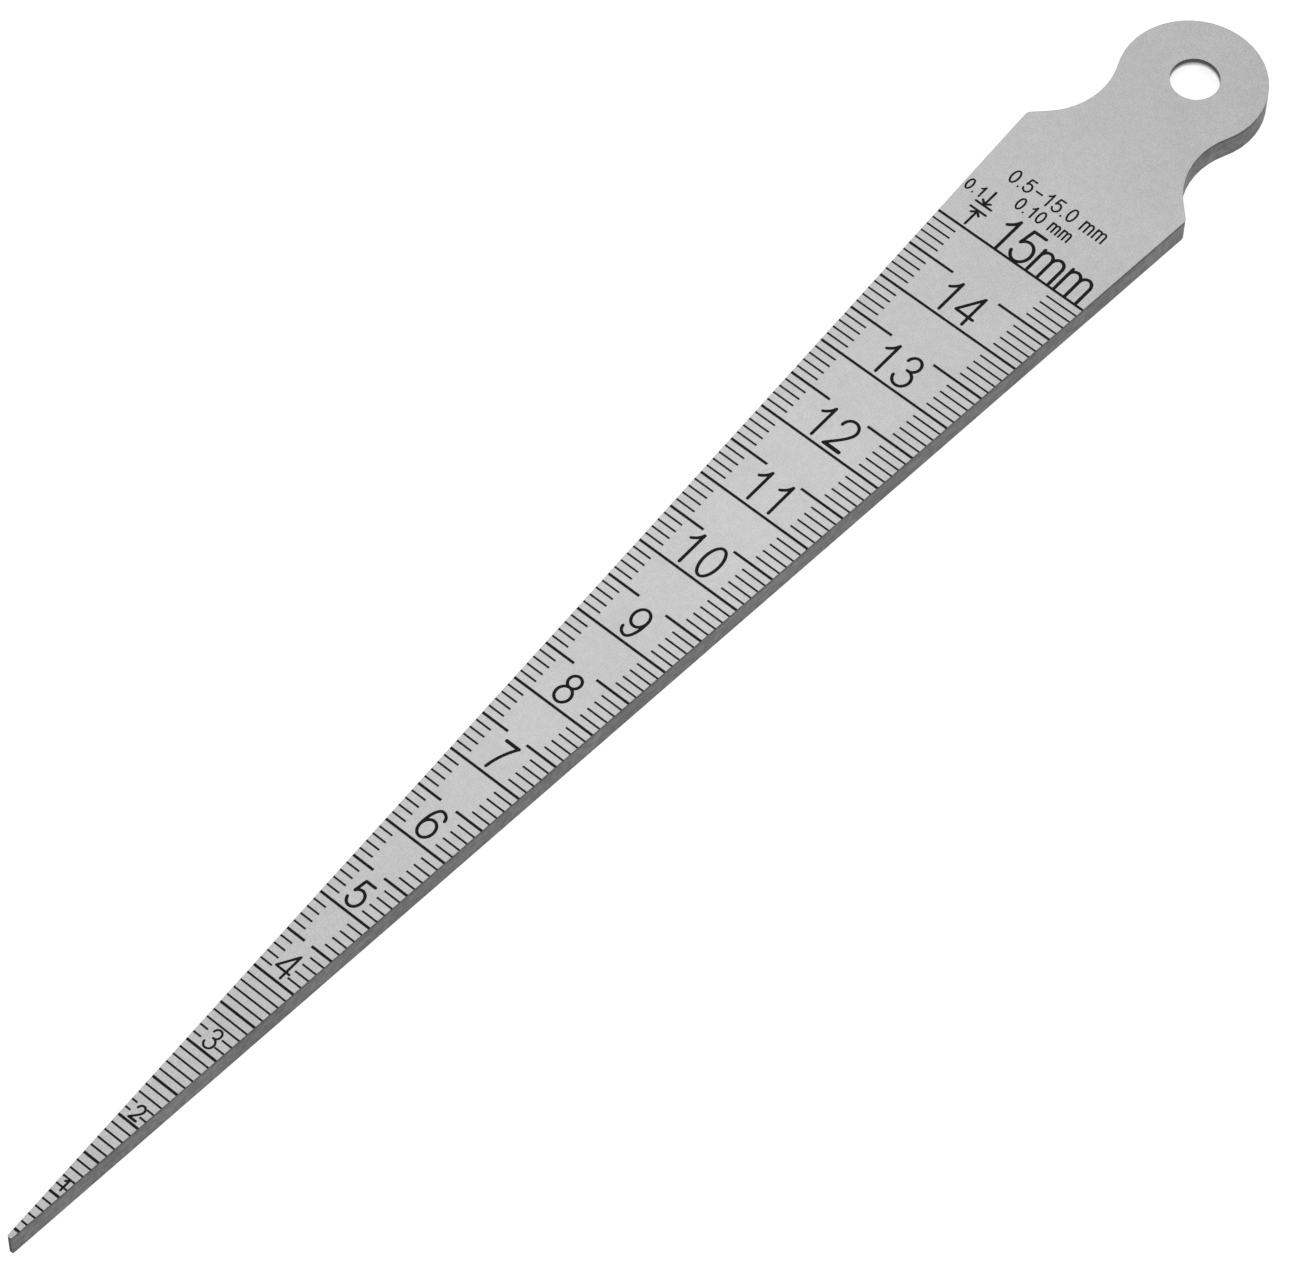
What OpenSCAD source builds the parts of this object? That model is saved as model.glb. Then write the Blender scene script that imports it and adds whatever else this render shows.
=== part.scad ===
// Taper gauge: a flat steel wedge that is pushed into a gap or a bore and read where it stops.
// The width of the blade at each line of the scale is the reading of that line, in millimetres.
// The gauge lies on its back, scale up, with its tip towards -X and its head towards +X.

/* [Blade] */
// Largest reading, which is the width of the blade at the last line
range_max = 15; // [13:1:25]
// Growth of the blade's width from one whole line to the next
reading_step = 1; // [0.5:0.5:2]
// Distance along the blade from one whole line to the next
line_pitch = 8; // [5:0.5:12]
// Width of the cut-off tip
tip_w = 0.4; // [0.3:0.05:1]
// Rounding of the tip's corners
tip_r = 0.1; // [0.05:0.01:0.15]
// Plain length from the last line to the shoulder
grip_len = 12.4; // [8:0.1:20]
// Thickness of the sheet
thickness = 2.4; // [1:0.1:4]

/* [Shoulder and neck] */
// Angle between the sloping shoulder and the length of the gauge
shoulder_angle = 45; // [30:1:50]
// Rounding of the shoulder's corner
shoulder_r = 0.65; // [0.2:0.05:1]
// Width of the neck where it is narrowest
neck_w = 10.2; // [8:0.1:11.5]
// Radius of the hollow on each side of the neck
neck_r = 6.6; // [4:0.1:8]

/* [Head] */
// Diameter of the round head
head_d = 12.6; // [11:0.1:18]
// Diameter of the hanging hole
hole_d = 4.2; // [2.5:0.1:7]
// Distance of the hole's middle beyond the middle of the head
hole_shift = 0.35; // [0:0.05:1]

/* [Scale] */
// Reading of the first line
scale_start = 0.5; // [0.5:0.1:2]
// Number of divisions from one whole line to the next
divisions = 10; // [2:2:10]
// Reading from which only the whole lines run right across the blade
split_from = 4; // [3:1:8]
// Width of the lines at whole and half readings
main_line_w = 0.24; // [0.12:0.01:0.3]
// Width of the lines between them
fine_line_w = 0.17; // [0.08:0.01:0.2]
// Depth to which the lines are etched
line_depth = 0.05; // [0.02:0.01:0.2]
// Length of a half line where the blade would come to a point
half_line_len = 0.55; // [0.2:0.05:1]
// What a half line gains in length from one whole line to the next
half_line_gain = 0.3; // [0.2:0.01:0.4]
// Length of a fine line where the blade would come to a point
fine_line_len = 0.68; // [0.2:0.02:1]
// What a fine line gains in length from one whole line to the next
fine_line_gain = 0.137; // [0.05:0.001:0.2]
// Drift of the scale's middle towards the left edge, from one whole line to the next
scale_drift = 0.022; // [-0.04:0.001:0.04]

/* [Numeral gaps] */
// First reading whose numeral interrupts the lines beside it
numeral_gap_from = 2; // [1:1:3]
// Number of lines that such a numeral interrupts
numeral_gap_lines = 2; // [1:1:3]
// Part of the blade's width that those lines leave free
numeral_gap_share = 0.44; // [0.2:0.02:0.7]

/* [Hidden] */

// What a cutting shape reaches past the surface that it cuts
run_out = 0.5;
// What neighbouring arcs and edges overlap, so that they cross instead of only touching
weld = 0.0005;

// Length of blade over which the width grows by one, and the slant of each edge
taper = line_pitch / reading_step;
edge_angle = atan(1 / taper / 2);
// Lengthwise places, counted from the point where the blade would have no width
tip_u = tip_w * taper;
shoulder_u = range_max * taper + grip_len;
shoulder_v = shoulder_u / taper / 2;
// End of the sloping shoulder, where the hollow of the neck takes over
slope_end_v = neck_w / 2 + neck_r * (1 - cos(shoulder_angle));
slope_end_u = shoulder_u + (shoulder_v - slope_end_v) / tan(shoulder_angle);
// Middle of the hollow, which is tangent to the shoulder and to the head
hollow_u = slope_end_u + neck_r * sin(shoulder_angle);
hollow_v = neck_w / 2 + neck_r;
// Middle of the head, and the far end of the gauge
head_r = head_d / 2;
head_u = hollow_u + sqrt(pow(head_r + neck_r, 2) - pow(hollow_v, 2));
end_u = head_u + head_r;
// The origin lies below the middle of the whole length
middle_u = (tip_u + end_u) / 2;

// Point where the hollow meets the head, on the line between their middles
meet_u = hollow_u + (head_u - hollow_u) * neck_r / (head_r + neck_r);
meet_v = hollow_v * head_r / (head_r + neck_r);

// Rounding of the tip's corner, tangent to the end and to the blade's edge
tip_corner_u = tip_u + tip_r;
tip_corner_v = tip_w / 2 + tip_r * (tan(edge_angle) - 1 / cos(edge_angle));

// Rounding of the shoulder's corner, tangent to the blade's edge and to the slope
corner_len = shoulder_r * tan((edge_angle + shoulder_angle) / 2);
corner_u = shoulder_u - corner_len * cos(edge_angle) + shoulder_r * sin(edge_angle);
corner_v = shoulder_v - corner_len * sin(edge_angle) - shoulder_r * cos(edge_angle);

// One edge of the gauge from the tip to the middle of the head, on the left (side 1) or the right (side -1)
function edge_points(side) = [
    [tip_u, side * tip_corner_v],
    [tip_corner_u - tip_r * sin(edge_angle), side * (tip_corner_v + tip_r * cos(edge_angle))],
    [shoulder_u - corner_len * cos(edge_angle), side * (shoulder_v - corner_len * sin(edge_angle))],
    [shoulder_u + corner_len * cos(shoulder_angle), side * (shoulder_v - corner_len * sin(shoulder_angle))],
    [slope_end_u, side * slope_end_v],
    [meet_u, side * meet_v],
    [head_u, 0]
];

function reversed(list) = [for (i = [len(list) - 1 : -1 : 0]) list[i]];
function centred(points) = [for (p = points) [p.x - middle_u, p.y]];

// First and last line of the scale
first_line = round(scale_start / reading_step * divisions);
last_line = round(range_max / reading_step * divisions);

// The lines are counted in divisions, and a line's reading is the width of the blade there
function whole_lines(line) = line / divisions;
function reading(line) = whole_lines(line) * reading_step;
function is_whole(line) = line % divisions == 0;
function is_main(line) = 2 * line % divisions == 0;
function line_w(line) = is_main(line) ? main_line_w : fine_line_w;
function line_len(line) = is_main(line)
    ? half_line_len + half_line_gain * whole_lines(line)
    : fine_line_len + fine_line_gain * whole_lines(line);
function beside_numeral(line) =
    reading(line) > numeral_gap_from && line % divisions <= numeral_gap_lines;

// Half of what a line leaves free in the middle of the blade, or 0 for a line that runs right across
function half_gap(line) =
    is_whole(line) ? 0
    : reading(line) > split_from ? max(0, reading(line) / 2 - line_len(line))
    : beside_numeral(line) ? numeral_gap_share * reading(line) / 2
    : 0;

module outline() {
    difference() {
        polygon(centred(concat(edge_points(-1), reversed(edge_points(1)))));
        for (side = [-1, 1])
            translate([hollow_u - middle_u, side * hollow_v])
                circle(r = neck_r + weld, $fn = 96);
    }
    for (side = [-1, 1]) {
        translate([tip_corner_u - middle_u, side * tip_corner_v])
            circle(r = tip_r + weld, $fn = 48);
        translate([corner_u - middle_u, side * corner_v])
            circle(r = shoulder_r + weld, $fn = 48);
    }
    translate([head_u - middle_u, 0])
        circle(r = head_r, $fn = 96);
}

// A bar that cuts one stretch of a line, between two places across the blade
module etched_bar(line, from, to) {
    translate([whole_lines(line) * line_pitch - middle_u - line_w(line) / 2, from, thickness - line_depth])
        cube([line_w(line), to - from, line_depth + run_out]);
}

module etched_line(line) {
    gap = half_gap(line);
    drift = scale_drift * whole_lines(line);
    reach = reading(line) / 2 + run_out;
    if (gap > 0) {
        etched_bar(line, drift + gap, reach);
        etched_bar(line, -reach, drift - gap);
    } else {
        etched_bar(line, -reach, reach);
    }
}

module gauge_blade() {
    color("#c6c8ca")
        difference() {
            linear_extrude(thickness)
                outline();
            translate([head_u + hole_shift - middle_u, 0, -run_out])
                cylinder(d = hole_d, h = thickness + 2 * run_out, $fn = 64);
            for (line = [first_line : last_line])
                etched_line(line);
        }
}

gauge_blade();
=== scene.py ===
import math

import bpy
from mathutils import Matrix, Vector
from mathutils.geometry import delaunay_2d_cdt


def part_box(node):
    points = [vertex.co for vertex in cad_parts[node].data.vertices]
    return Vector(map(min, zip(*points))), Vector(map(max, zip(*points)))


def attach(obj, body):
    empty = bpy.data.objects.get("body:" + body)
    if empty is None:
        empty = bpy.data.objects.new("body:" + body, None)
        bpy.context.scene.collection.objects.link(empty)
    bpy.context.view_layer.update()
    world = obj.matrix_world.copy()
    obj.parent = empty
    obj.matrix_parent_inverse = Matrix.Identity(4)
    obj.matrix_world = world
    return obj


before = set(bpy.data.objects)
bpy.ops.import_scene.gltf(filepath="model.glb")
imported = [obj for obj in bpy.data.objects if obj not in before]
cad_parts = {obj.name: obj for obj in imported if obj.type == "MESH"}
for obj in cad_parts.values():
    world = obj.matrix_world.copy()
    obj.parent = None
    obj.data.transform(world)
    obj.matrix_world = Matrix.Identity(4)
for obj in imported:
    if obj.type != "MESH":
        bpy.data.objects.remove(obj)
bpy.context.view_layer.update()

# The scene is in metres; sizes of the gauge are written in millimetres
MM = 0.001

# The gauge's solid, and the body that everything rides on
NODE = "gauge_blade"
BODY = "root"

# Sizes of the gauge, as in the part's source: the blade is as wide as the reading at each line
TAPER = 8.0
TIP_W = 0.4
HEAD_D = 12.6
HOLE_D = 4.2
HOLE_SHIFT = 0.35

# Lines of the scale, as in the part's source
RANGE_MAX = 15
DIVISIONS = 10
FIRST_LINE = 5
LAST_LINE = RANGE_MAX * DIVISIONS
SPLIT_FROM = 4
MAIN_LINE_W = 0.24
FINE_LINE_W = 0.17
LINE_DEPTH = 0.05
HALF_LINE_LEN, HALF_LINE_GAIN = 0.55, 0.3
FINE_LINE_LEN, FINE_LINE_GAIN = 0.68, 0.137
SCALE_DRIFT = 0.022
NUMERAL_GAP_FROM = 2
NUMERAL_GAP_LINES = 2
NUMERAL_GAP_SHARE = 0.44

# Places from the solid's box: its upper face, the point where the tapered edges would meet, and the hole
low_corner, high_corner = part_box(NODE)
FACE_Z = high_corner.z / MM
APEX_X = low_corner.x / MM - TIP_W * TAPER
HOLE_X = high_corner.x / MM - HEAD_D / 2 + HOLE_SHIFT

# Black filling of the etched lines: its play in the groove, and how far it stays below the face
FILL_PLAY = 0.002
FILL_SINK = 0.006
# Marked numerals and signs: how deep they go into the face, and how far they stand out of it
MARK_DEPTH = 0.02
MARK_RISE = 0.003


# Outlines on the face, with x to the right as the numerals are read and u along the blade from the apex

# Points that lie closer than this are taken as one
JOIN_DISTANCE = 1e-5
# Kind of triangulation that keeps only what lies inside the outlines
INSIDE_ONLY = 1
# Number of edges of a stroke's half round end
ROUND_STEPS = 6


def flat_solid(name, outlines, low, high):
    """A closed solid over the union of outlines that may overlap, between two heights above the back."""
    points = [Vector(point) for outline in outlines for point in outline]
    faces, start = [], 0
    for outline in outlines:
        faces.append(list(range(start, start + len(outline))))
        start += len(outline)
    flat, _, triangles, _, _, sources = delaunay_2d_cdt(points, [], faces, INSIDE_ONLY, JOIN_DISTANCE)
    tops = [tuple(triangle) for triangle, source in zip(triangles, sources) if source]
    steps = {(t[i], t[(i + 1) % 3]) for t in tops for i in range(3)}
    rim = [(a, b) for a, b in steps if (b, a) not in steps]
    count = len(flat)
    places = [((APEX_X + u) * MM, -x * MM, z * MM) for z in (high, low) for x, u in flat]
    bottoms = [tuple(count + corner for corner in reversed(t)) for t in tops]
    walls = [(count + a, count + b, b, a) for a, b in sorted(rim)]
    mesh = bpy.data.meshes.new(name)
    mesh.from_pydata(places, [], tops + bottoms + walls)
    mesh.validate()
    piece = bpy.data.objects.new(name, mesh)
    bpy.context.scene.collection.objects.link(piece)
    return piece


def marked_solid(name, outlines):
    """Numerals or signs that reach into the face and stand a little out of it."""
    return flat_solid(name, outlines, FACE_Z - MARK_DEPTH, FACE_Z + MARK_RISE)


def ribbon(points, width):
    """The outline of a stroke of that width along a line of points, with round ends."""
    points = [Vector(point) for point in points]
    half = width / 2
    last = len(points) - 1
    right, left = [], []
    for i, point in enumerate(points):
        along = (points[min(i + 1, last)] - points[max(i - 1, 0)]).normalized()
        aside = Vector((along.y, -along.x)) * half
        right.append(point + aside)
        left.append(point - aside)
    return right + round_end(points[-1], right[-1]) + left[::-1] + round_end(points[0], left[0])


def round_end(middle, start):
    """Points of the half circle about middle that begins at start, without its two ends."""
    arm = start - middle
    turns = [Matrix.Rotation(math.pi * i / ROUND_STEPS, 2) for i in range(1, ROUND_STEPS)]
    return [middle + turn @ arm for turn in turns]


# Lines of the scale, counted in divisions

def is_whole(line):
    """Whether a line stands at a whole reading."""
    return line % DIVISIONS == 0


def is_main(line):
    """Whether a line stands at a whole or a half reading."""
    return 2 * line % DIVISIONS == 0


def half_gap(line):
    """Half of what a line leaves free in the middle of the blade, or 0 where it runs right across."""
    reading = line / DIVISIONS
    if is_whole(line):
        return 0
    if reading > SPLIT_FROM:
        if is_main(line):
            length = HALF_LINE_LEN + HALF_LINE_GAIN * reading
        else:
            length = FINE_LINE_LEN + FINE_LINE_GAIN * reading
        return max(0, reading / 2 - length)
    if reading > NUMERAL_GAP_FROM and line % DIVISIONS <= NUMERAL_GAP_LINES:
        return NUMERAL_GAP_SHARE * reading / 2
    return 0


def line_outlines(line):
    """The one or two stretches of a line, cut off along the slanting edges of the blade."""
    reading = line / DIVISIONS
    width = MAIN_LINE_W if is_main(line) else FINE_LINE_W
    near = reading * TAPER - width / 2 + FILL_PLAY
    far = reading * TAPER + width / 2 - FILL_PLAY
    near_edge = near / TAPER / 2 - FILL_PLAY
    far_edge = far / TAPER / 2 - FILL_PLAY
    gap = half_gap(line)
    if gap == 0:
        return [[(-near_edge, near), (near_edge, near), (far_edge, far), (-far_edge, far)]]
    middle = -SCALE_DRIFT * reading
    right = middle + gap + FILL_PLAY
    left = middle - gap - FILL_PLAY
    return [
        [(right, near), (near_edge, near), (far_edge, far), (right, far)],
        [(-near_edge, near), (left, near), (left, far), (-far_edge, far)],
    ]


def make_scale_lines():
    """The black filling of all the etched lines."""
    outlines = []
    for line in range(FIRST_LINE, LAST_LINE + 1):
        outlines += line_outlines(line)
    return flat_solid("scale_lines", outlines, FACE_Z - LINE_DEPTH + FILL_PLAY, FACE_Z - FILL_SINK)


# Numerals, drawn as strokes in a box of height 1 with its middle at x 0

# Angle between the points of an arc, in degrees, and number of steps along a curve
ARC_STEP = 10
BEND_STEPS = 10


def arc(x, y, rx, ry, start, end):
    """Points along an ellipse between two angles in degrees, counted from the right and anticlockwise."""
    steps = max(2, round(abs(end - start) / ARC_STEP))
    angles = [math.radians(start + (end - start) * i / steps) for i in range(steps + 1)]
    return [(x + rx * math.cos(a), y + ry * math.sin(a)) for a in angles]


def bend(*controls):
    """Points along a Bezier curve with three or four control points."""
    order = len(controls) - 1
    points = []
    for i in range(BEND_STEPS + 1):
        t = i / BEND_STEPS
        weights = [math.comb(order, k) * t ** k * (1 - t) ** (order - k) for k in range(order + 1)]
        points.append(tuple(sum(w * c[axis] for w, c in zip(weights, controls)) for axis in (0, 1)))
    return points


def turned(strokes):
    """The same strokes turned upside down."""
    return [[(-x, 1 - y) for x, y in stroke] for stroke in strokes]


# Closed rounds are two half arcs, and the heavy bars of the 2 and the 7 are two strokes side by side
TWO_CURVE = bend((0.245, 0.74), (0.245, 0.5), (-0.13, 0.16), (-0.25, 0))
SIX = [
    arc(0, 0.31, 0.24, 0.31, 0, 180),
    arc(0, 0.31, 0.24, 0.31, 180, 360),
    arc(0, 0.36, 0.24, 0.64, 190, 90) + arc(0, 0.77, 0.225, 0.23, 80, 5),
]
STROKES = {
    "0": [arc(0, 0.5, 0.237, 0.5, 90, 270), arc(0, 0.5, 0.237, 0.5, -90, 90)],
    "1": [[(0.05, 0), (0.05, 1)], bend((-0.18, 0.73), (-0.01, 0.83), (0.05, 1))],
    "2": [
        arc(0.01, 0.74, 0.235, 0.26, 180, 0) + TWO_CURVE[1:],
        [(-0.25, 0), (0.26, 0)],
        [(-0.23, 0.03), (0.26, 0.03)],
    ],
    "3": [
        arc(0, 0.77, 0.2, 0.23, 175, -90),
        arc(0.01, 0.27, 0.243, 0.27, 90, -170),
        [(-0.03, 0.54), (0.01, 0.54)],
    ],
    "4": [[(0.12, 0), (0.12, 1)], [(0.12, 1), (-0.3, 0.29)], [(-0.3, 0.285), (0.26, 0.275)]],
    "5": [
        [(-0.15, 1), (0.22, 1)],
        [(-0.15, 1), (-0.22, 0.535)],
        arc(-0.012, 0.332, 0.26, 0.332, 142, -160),
    ],
    "6": SIX,
    "7": [
        [(-0.2, 1), (0.25, 1)],
        [(-0.2, 0.98), (0.25, 0.98)],
        bend((0.25, 1), (-0.05, 0.5), (-0.105, 0)),
    ],
    "8": [
        arc(0, 0.78, 0.2, 0.22, 90, 270),
        arc(0, 0.78, 0.2, 0.22, -90, 90),
        arc(0, 0.28, 0.242, 0.28, 90, 270),
        arc(0, 0.28, 0.242, 0.28, -90, 90),
    ],
    "9": turned(SIX),
    "m": [
        [(-0.34, 0), (-0.34, 0.75)],
        arc(-0.17, 0.53, 0.17, 0.21, 180, 0) + [(0, 0)],
        arc(0.17, 0.53, 0.17, 0.21, 180, 0) + [(0.34, 0)],
    ],
    ".": [[(0, 0), (0, 0.02)]],
    "-": [[(-0.22, 0.48), (0.22, 0.48)]],
    " ": [],
}
# Widths of the characters with their share of space, for the same box
ADVANCE = {"m": 0.96, ".": 0.42, "-": 0.9, " ": 0.45}
DIGIT_ADVANCE = 0.685


def text_outlines(text, middle, base, height, stroke, spacing=1.0):
    """Outlines of a row of characters, between the heights base and base + height along the blade."""
    scale = height - stroke
    widths = [ADVANCE.get(character, DIGIT_ADVANCE) * scale * spacing for character in text]
    x = middle - sum(widths) / 2
    outlines = []
    for character, width in zip(text, widths):
        x += width / 2
        for points in STROKES[character]:
            placed = [(x + px * scale, base + stroke / 2 + py * scale) for px, py in points]
            outlines.append(ribbon(placed, stroke))
        x += width / 2
    return outlines


# Numerals beside the whole lines: first reading, height, rise of the foot above the line, and stroke
NUMERAL_SIZES = (
    (1, 1.3, 0.4, 0.2),
    (2, 1.56, 0.22, 0.2),
    (3, 2.0, 0.24, 0.19),
    (4, 2.6, 0.28, 0.22),
    (5, 2.7, 0.36, 0.27),
    (6, 3.05, 0.41, 0.27),
    (9, 3.15, 0.39, 0.27),
    (10, 3.4, 0.38, 0.28),
)
# Sideways place of the numerals, which wanders a little from one whole line to the next
NUMERAL_X = 0.15
NUMERAL_DRIFT = -0.035
NUMERAL_SHIFTS = {4: 0.03, 7: 0.03, 9: 0.05, 10: -0.16, 11: 0.1}
# First reading with two digits, and what such a numeral is moved by
TWO_DIGITS_FROM = 10
TWO_DIGIT_SHIFT = -0.05
# The last line has its numeral and unit standing on it
UNIT_TEXT = "15mm"
UNIT_X = 2.08
UNIT_HEIGHT = 3.6
UNIT_STROKE = 0.3
UNIT_SPACING = 0.9


def make_numerals():
    """The numerals of the whole lines, and the last one with the unit."""
    outlines = []
    for reading in range(1, RANGE_MAX):
        _, height, rise, stroke = [size for size in NUMERAL_SIZES if size[0] <= reading][-1]
        middle = NUMERAL_X + NUMERAL_DRIFT * reading + NUMERAL_SHIFTS.get(reading, 0)
        if reading >= TWO_DIGITS_FROM:
            middle += TWO_DIGIT_SHIFT
        outlines += text_outlines(str(reading), middle, reading * TAPER + rise, height, stroke)
    unit_base = RANGE_MAX * TAPER
    outlines += text_outlines(UNIT_TEXT, UNIT_X, unit_base, UNIT_HEIGHT, UNIT_STROKE, UNIT_SPACING)
    return marked_solid("scale_numerals", outlines)


# Sign for the value of one division: two bars, two arrows that point at the gap between them, and a number
SIGN_X = -5.02
SIGN_BARS = (122.06, 122.75)
SIGN_BAR_LEN = 1.58
SIGN_ENDS = (120.37, 124.4)
SIGN_HEAD_W, SIGN_HEAD_LEN = 0.4, 0.33
SIGN_STROKE = 0.22
SIGN_TEXT = "0.1"
SIGN_TEXT_X = -6.58
SIGN_TEXT_BASE = 123.1
SIGN_TEXT_HEIGHT = 1.25
SIGN_TEXT_STROKE = 0.18
SIGN_TEXT_SPACING = 1.05


def make_division_sign():
    """The sign for the value of one division, beside the last line."""
    strokes = []
    for bar, end in zip(SIGN_BARS, SIGN_ENDS):
        side = 1 if end > bar else -1
        strokes.append([(SIGN_X - SIGN_BAR_LEN / 2, bar), (SIGN_X + SIGN_BAR_LEN / 2, bar)])
        strokes.append([(SIGN_X, bar), (SIGN_X, end)])
        tip = bar + side * SIGN_STROKE / 2
        for wing in (-SIGN_HEAD_W, SIGN_HEAD_W):
            strokes.append([(SIGN_X, tip), (SIGN_X + wing, tip + side * SIGN_HEAD_LEN)])
    outlines = [ribbon(points, SIGN_STROKE) for points in strokes]
    outlines += text_outlines(
        SIGN_TEXT, SIGN_TEXT_X, SIGN_TEXT_BASE, SIGN_TEXT_HEIGHT, SIGN_TEXT_STROKE, SIGN_TEXT_SPACING)
    return marked_solid("division_sign", outlines)


# Two rows of plain numbers below the shoulder: text, sideways place, foot and height
NUMBER_ROWS = (
    ("0.5-15.0 mm", -0.35, 125.95, 1.5),
    ("0.10 mm", -0.4, 124.2, 1.35),
)
ROW_STROKE = 0.18


def make_number_rows():
    """The range of the scale and the value of one division."""
    outlines = []
    for text, middle, base, height in NUMBER_ROWS:
        outlines += text_outlines(text, middle, base, height, ROW_STROKE)
    return marked_solid("number_rows", outlines)


# Materials

# Values that most of a noise pattern lies between
NOISE_SPAN = (0.35, 0.65)
# Layers of ever finer noise in a plain pattern and in a rich one
PLAIN_DETAIL = 2.0
RICH_DETAIL = 3.0
WHITE = (1, 1, 1, 1)


def node(tree, kind, inputs, **settings):
    """A shader node with its settings, and its inputs set to values or linked to sockets."""
    made = tree.nodes.new(kind)
    for name, value in settings.items():
        setattr(made, name, value)
    for name, value in inputs.items():
        if isinstance(value, bpy.types.NodeSocket):
            tree.links.new(value, made.inputs[name])
        else:
            made.inputs[name].default_value = value
    return made


def new_material(name):
    """An empty material and its node tree."""
    material = bpy.data.materials.new(name)
    material.use_nodes = True
    tree = material.node_tree
    tree.nodes.clear()
    return material, tree


def noise(tree, place, size, detail=PLAIN_DETAIL):
    """A noise pattern whose blotches have about that size, in millimetres."""
    sockets = {"Vector": place, "Scale": 1 / (size * MM), "Detail": detail}
    return node(tree, "ShaderNodeTexNoise", sockets).outputs["Fac"]


def ramp(tree, value, start, end, low, high):
    """A value turned from low, at start, to high, at end, and held beyond them."""
    sockets = {"Value": value, "From Min": start, "From Max": end, "To Min": low, "To Max": high}
    return node(tree, "ShaderNodeMapRange", sockets).outputs["Result"]


def between(tree, pattern, span):
    """A noise pattern's value, stretched over a span from its darkest to its brightest."""
    return ramp(tree, pattern, *NOISE_SPAN, *span)


def choose(tree, factor, first, second):
    """The first value where the factor is 0, the second where it is 1."""
    return ramp(tree, factor, 0, 1, first, second)


def maths(tree, operation, first, second=0.0):
    """The result of a product or a comparison of two values, or of an operation on one."""
    return node(tree, "ShaderNodeMath", {0: first, 1: second}, operation=operation).outputs[0]


def product(tree, first, second):
    """Two values multiplied."""
    return maths(tree, "MULTIPLY", first, second)


def vector_maths(tree, operation, first, second, output):
    """The result of an operation on two vectors."""
    return node(tree, "ShaderNodeVectorMath", {0: first, 1: second}, operation=operation).outputs[output]


def grey(tree, value):
    """A neutral colour from a value."""
    sockets = {"Red": value, "Green": value, "Blue": value}
    return node(tree, "ShaderNodeCombineColor", sockets).outputs["Color"]


# Radius to which the sharp edges are broken, and the number of samples that round them
EDGE_BREAK = 0.08
EDGE_SAMPLES = 4
# Sizes of the patterns in the steel
GRAIN_SIZE = 0.16
MOTTLE_SIZE = 0.3
SPECKLE_SIZE = 0.55
CLOUD_SIZE = 6.0
# Shrinking of the mottle along each axis, which draws it out into streaks along the blade
STREAK = (0.18, 0.18, 1.0)
# A surface is one of the two faces where its normal has more than this of Z, up or down
FACE_NORMAL = 0.5
# A cut side is the tip's end where its normal has less than this of X
TIP_NORMAL = -0.97
# A cut side is the wall of the hole where it is nearer than this to the hole's middle
HOLE_REACH = 0.52 * HOLE_D
# Tones of the faces and of the cut sides, with what the patterns multiply them by, and the painted shade
# of the tip's end
FACE_TONE, FACE_CLOUD, FACE_SPECKLE = (0.54, 0.66), (0.98, 1.02), (0.97, 1.03)
# The cut sides' tone is partly their duller finish and partly painted shade for the darker surroundings
# they reflect
SIDE_TONE_AND_SHADE, SIDE_CLOUD, SIDE_SPECKLE = (0.112, 0.183), (0.9, 1.1), (0.82, 1.18)
# The tip's end is painted near black: painted shade on the end that faces away from the light
TIP_PAINTED_SHADE = (0.02, 0.05)
# Heights between which the cut sides turn darker towards the rim, and by what
RIM_HEIGHTS = (1.9, 2.25)
RIM_SHADE = (1.0, 0.52)
# Heights between which the wall of the hole turns from a painted reflection of the bright floor to painted
# shade under its rim, and its tones there
HOLE_HEIGHTS = (1.45, 2.0)
HOLE_PAINTED_LIGHT = (0.97, 0.08)
# Roughness, and the relief of the grain
FACE_ROUGHNESS = (0.38, 0.48)
SIDE_ROUGHNESS = (0.5, 0.66)
GRAIN_RELIEF, RELIEF_STRENGTH = 0.01, 0.25


def by_height(tree, height, heights, span):
    """A value that turns from one end of a span to the other between two heights."""
    start, end = [limit * MM for limit in heights]
    return ramp(tree, height, start, end, *span)


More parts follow.
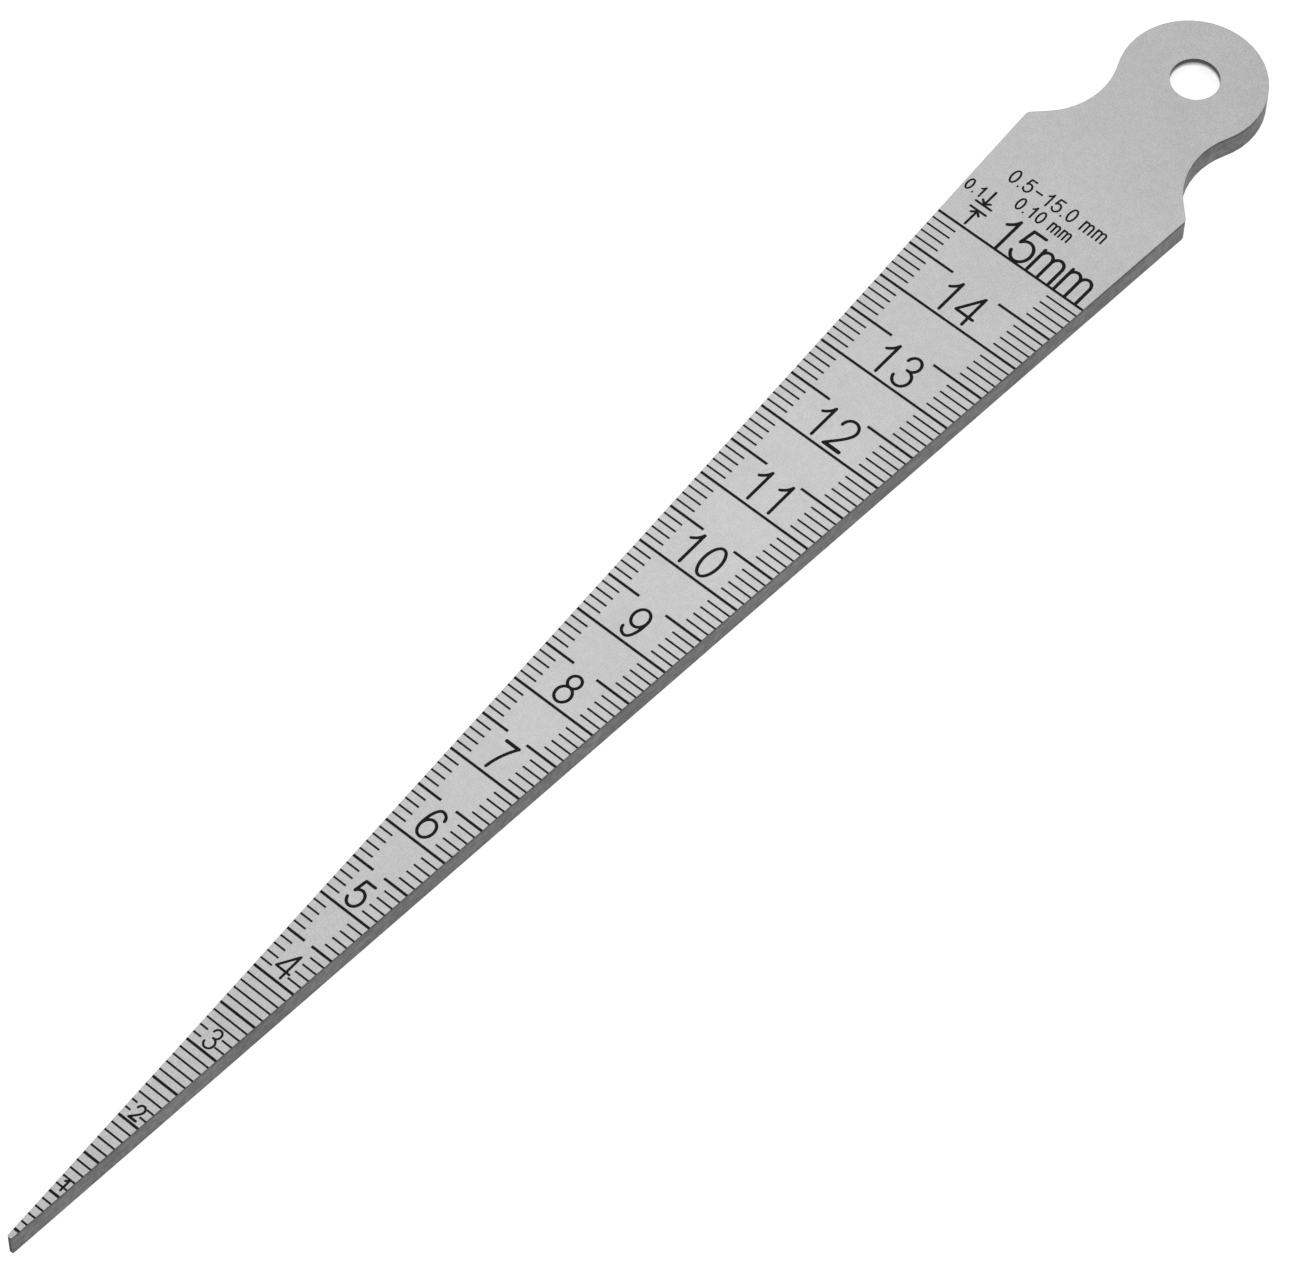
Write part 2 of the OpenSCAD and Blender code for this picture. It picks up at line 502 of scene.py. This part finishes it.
def steel_material():
    """Finely blasted stainless steel; its cut sides are darker, partly by a duller finish and partly by
    painted shade, the tip's end has painted shade, and the wall of the hole a painted reflection of the
    floor that turns to painted shade under its rim.
    """
    material, tree = new_material("satin_steel")
    coordinates = tree.nodes.new("ShaderNodeTexCoord").outputs
    place = coordinates["Object"]
    height = node(tree, "ShaderNodeSeparateXYZ", {"Vector": place}).outputs["Z"]
    normal = node(tree, "ShaderNodeSeparateXYZ", {"Vector": coordinates["Normal"]}).outputs
    flat_place = vector_maths(tree, "MULTIPLY", place, (1, 1, 0), "Vector")
    from_hole = vector_maths(tree, "DISTANCE", flat_place, (HOLE_X * MM, 0, 0), "Value")
    is_face = maths(tree, "GREATER_THAN", maths(tree, "ABSOLUTE", normal["Z"]), FACE_NORMAL)
    is_hole = maths(tree, "LESS_THAN", from_hole, HOLE_REACH * MM)
    is_tip = maths(tree, "LESS_THAN", normal["X"], TIP_NORMAL)

    grain = noise(tree, place, GRAIN_SIZE)
    cloud = noise(tree, place, CLOUD_SIZE, RICH_DETAIL)
    speckle = noise(tree, place, SPECKLE_SIZE, RICH_DETAIL)
    mottle = noise(tree, vector_maths(tree, "MULTIPLY", place, STREAK, "Vector"), MOTTLE_SIZE, RICH_DETAIL)

    face_patches = product(tree, between(tree, cloud, FACE_CLOUD), between(tree, speckle, FACE_SPECKLE))
    face_tone = product(tree, between(tree, grain, FACE_TONE), face_patches)
    side_patches = product(tree, between(tree, cloud, SIDE_CLOUD), between(tree, speckle, SIDE_SPECKLE))
    # Cut sides: streaky tone, partly their duller finish and partly painted shade
    streaks = product(tree, between(tree, mottle, SIDE_TONE_AND_SHADE), side_patches)
    side_tone_and_shade = product(tree, streaks, by_height(tree, height, RIM_HEIGHTS, RIM_SHADE))
    # The tip's end gets painted shade
    cut_tone_and_shade = choose(tree, is_tip, side_tone_and_shade, between(tree, mottle, TIP_PAINTED_SHADE))
    # The wall of the hole: painted reflection of the floor low down, painted shade under the rim
    hole_painted_light = by_height(tree, height, HOLE_HEIGHTS, HOLE_PAINTED_LIGHT)
    tone = choose(tree, is_face, choose(tree, is_hole, cut_tone_and_shade, hole_painted_light), face_tone)

    side_roughness = between(tree, mottle, SIDE_ROUGHNESS)
    face_roughness = between(tree, grain, FACE_ROUGHNESS)
    edge = node(tree, "ShaderNodeBevel", {"Radius": EDGE_BREAK * MM}, samples=EDGE_SAMPLES)
    relief = node(tree, "ShaderNodeBump", {
        "Strength": RELIEF_STRENGTH,
        "Distance": GRAIN_RELIEF * MM,
        "Height": grain,
        "Normal": edge.outputs["Normal"],
    })
    shader = node(tree, "ShaderNodeBsdfPrincipled", {
        "Base Color": grey(tree, tone),
        "Metallic": 1.0,
        "Roughness": choose(tree, is_face, side_roughness, face_roughness),
        "Normal": relief.outputs["Normal"],
    })
    node(tree, "ShaderNodeOutputMaterial", {"Surface": shader.outputs["BSDF"]})
    return material


# Tone, roughness and gloss of the black marking, and the size of its unevenness
MARK_TONE = (0.004, 0.01)
MARK_ROUGHNESS = (0.5, 0.7)
MARK_GLOSS = 0.14
MARK_PATTERN_SIZE = 0.3


def marking_material():
    """Matt black filling of the etched lines and numerals, a little uneven."""
    material, tree = new_material("matt_black_marking")
    place = tree.nodes.new("ShaderNodeTexCoord").outputs["Object"]
    uneven = noise(tree, place, MARK_PATTERN_SIZE, RICH_DETAIL)
    shader = node(tree, "ShaderNodeBsdfPrincipled", {
        "Base Color": grey(tree, between(tree, uneven, MARK_TONE)),
        "Roughness": between(tree, uneven, MARK_ROUGHNESS),
        "Specular IOR Level": MARK_GLOSS,
    })
    node(tree, "ShaderNodeOutputMaterial", {"Surface": shader.outputs["BSDF"]})
    return material


# The gauge

def dress():
    """Gives the solid its steel, and puts the black marking on it."""
    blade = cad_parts[NODE]
    blade.data.materials.clear()
    blade.data.materials.append(steel_material())
    marking = marking_material()
    for make in (make_scale_lines, make_numerals, make_division_sign, make_number_rows):
        piece = make()
        piece.data.materials.append(marking)
        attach(piece, BODY)


# Floor, light and camera

# The floor glows a little, so that it stays white round the gauge
FLOOR_SIDE = 8.0
FLOOR_TONE = 0.5
FLOOR_GLOW = 0.8
FLOOR_ROUGHNESS = 0.9
FLOOR_GLOSS = 0.1


def make_floor():
    """A plain pale floor at the height of the gauge's back."""
    half = FLOOR_SIDE / 2
    mesh = bpy.data.meshes.new("floor")
    corners = [(-half, -half, 0), (half, -half, 0), (half, half, 0), (-half, half, 0)]
    mesh.from_pydata(corners, [], [(0, 1, 2, 3)])
    floor = bpy.data.objects.new("floor", mesh)
    bpy.context.scene.collection.objects.link(floor)
    material, tree = new_material("pale_floor")
    shader = node(tree, "ShaderNodeBsdfPrincipled", {
        "Base Color": (FLOOR_TONE, FLOOR_TONE, FLOOR_TONE, 1),
        "Roughness": FLOOR_ROUGHNESS,
        "Specular IOR Level": FLOOR_GLOSS,
        "Emission Color": WHITE,
        "Emission Strength": FLOOR_GLOW,
    })
    node(tree, "ShaderNodeOutputMaterial", {"Surface": shader.outputs["BSDF"]})
    mesh.materials.append(material)


# Light of the room near the horizon and higher up, and the heights between which one turns into the other
HORIZON_LIGHT = 0.9
ROOM_LIGHT = 0.54
ROOM_TURN = (0.3, 0.6)


def make_world():
    """A pale room, somewhat brighter all round near the horizon than above."""
    world = bpy.data.worlds.new("studio")
    bpy.context.scene.world = world
    world.use_nodes = True
    tree = world.node_tree
    tree.nodes.clear()
    direction = tree.nodes.new("ShaderNodeTexCoord").outputs["Generated"]
    height = node(tree, "ShaderNodeSeparateXYZ", {"Vector": direction}).outputs["Z"]
    strength = ramp(tree, height, *ROOM_TURN, HORIZON_LIGHT, ROOM_LIGHT)
    light = node(tree, "ShaderNodeBackground", {"Color": WHITE, "Strength": strength})
    node(tree, "ShaderNodeOutputWorld", {"Surface": light.outputs["Background"]})


# Four alike softboxes round the gauge: the first stands where the camera sees it mirrored in the face
SOFTBOX_COUNT = 4
SOFTBOX_FIRST = math.radians(39)
SOFTBOX_OUT = 0.143
SOFTBOX_UP = 0.229
SOFTBOX_SIDE = 0.13
SOFTBOX_POWER = 0.05


def make_softboxes():
    """Square soft lights in a ring above the gauge, all turned to its middle."""
    for i in range(SOFTBOX_COUNT):
        name = f"softbox_{i + 1}"
        angle = SOFTBOX_FIRST + math.tau * i / SOFTBOX_COUNT
        lamp = bpy.data.lights.new(name, "AREA")
        lamp.shape = "SQUARE"
        lamp.size = SOFTBOX_SIDE
        lamp.energy = SOFTBOX_POWER
        softbox = bpy.data.objects.new(name, lamp)
        softbox.location = (SOFTBOX_OUT * math.cos(angle), SOFTBOX_OUT * math.sin(angle), SOFTBOX_UP)
        softbox.rotation_euler = (-softbox.location).to_track_quat("-Z", "Y").to_euler()
        bpy.context.scene.collection.objects.link(softbox)


# The photograph's view: the camera's side, height and lean as angles, what it looks at, and from how far
VIEW_AZIMUTH = math.radians(-50.854)
VIEW_ELEVATION = math.radians(58.031)
VIEW_ROLL = math.radians(1.772)
VIEW_AIM = Vector((-2.803, -2.089, 2.4)) * MM
VIEW_DISTANCE = 525.42 * MM
# Focal length and sensor width in millimetres, and the nearest and farthest things seen, in metres
LENS = 185.485
SENSOR = 36.0
CLIP_NEAR, CLIP_FAR = 0.01, 50


def make_camera():
    """The camera that sees the gauge as the photograph does."""
    data = bpy.data.cameras.new("camera")
    data.lens = LENS
    data.sensor_width = SENSOR
    data.sensor_fit = "HORIZONTAL"
    data.clip_start = CLIP_NEAR
    data.clip_end = CLIP_FAR
    camera = bpy.data.objects.new("camera", data)
    bpy.context.scene.collection.objects.link(camera)
    level = math.cos(VIEW_ELEVATION)
    rise = math.sin(VIEW_ELEVATION)
    back = Vector((math.sin(VIEW_AZIMUTH) * level, -math.cos(VIEW_AZIMUTH) * level, rise))
    upright = (-back).to_track_quat("-Z", "Y").to_matrix().to_4x4()
    lean = Matrix.Rotation(VIEW_ROLL, 4, "Z")
    camera.matrix_world = Matrix.Translation(VIEW_AIM + back * VIEW_DISTANCE) @ upright @ lean
    bpy.context.scene.camera = camera


dress()
make_floor()
make_world()
make_softboxes()
make_camera()
bpy.context.scene.view_settings.view_transform = "Standard"
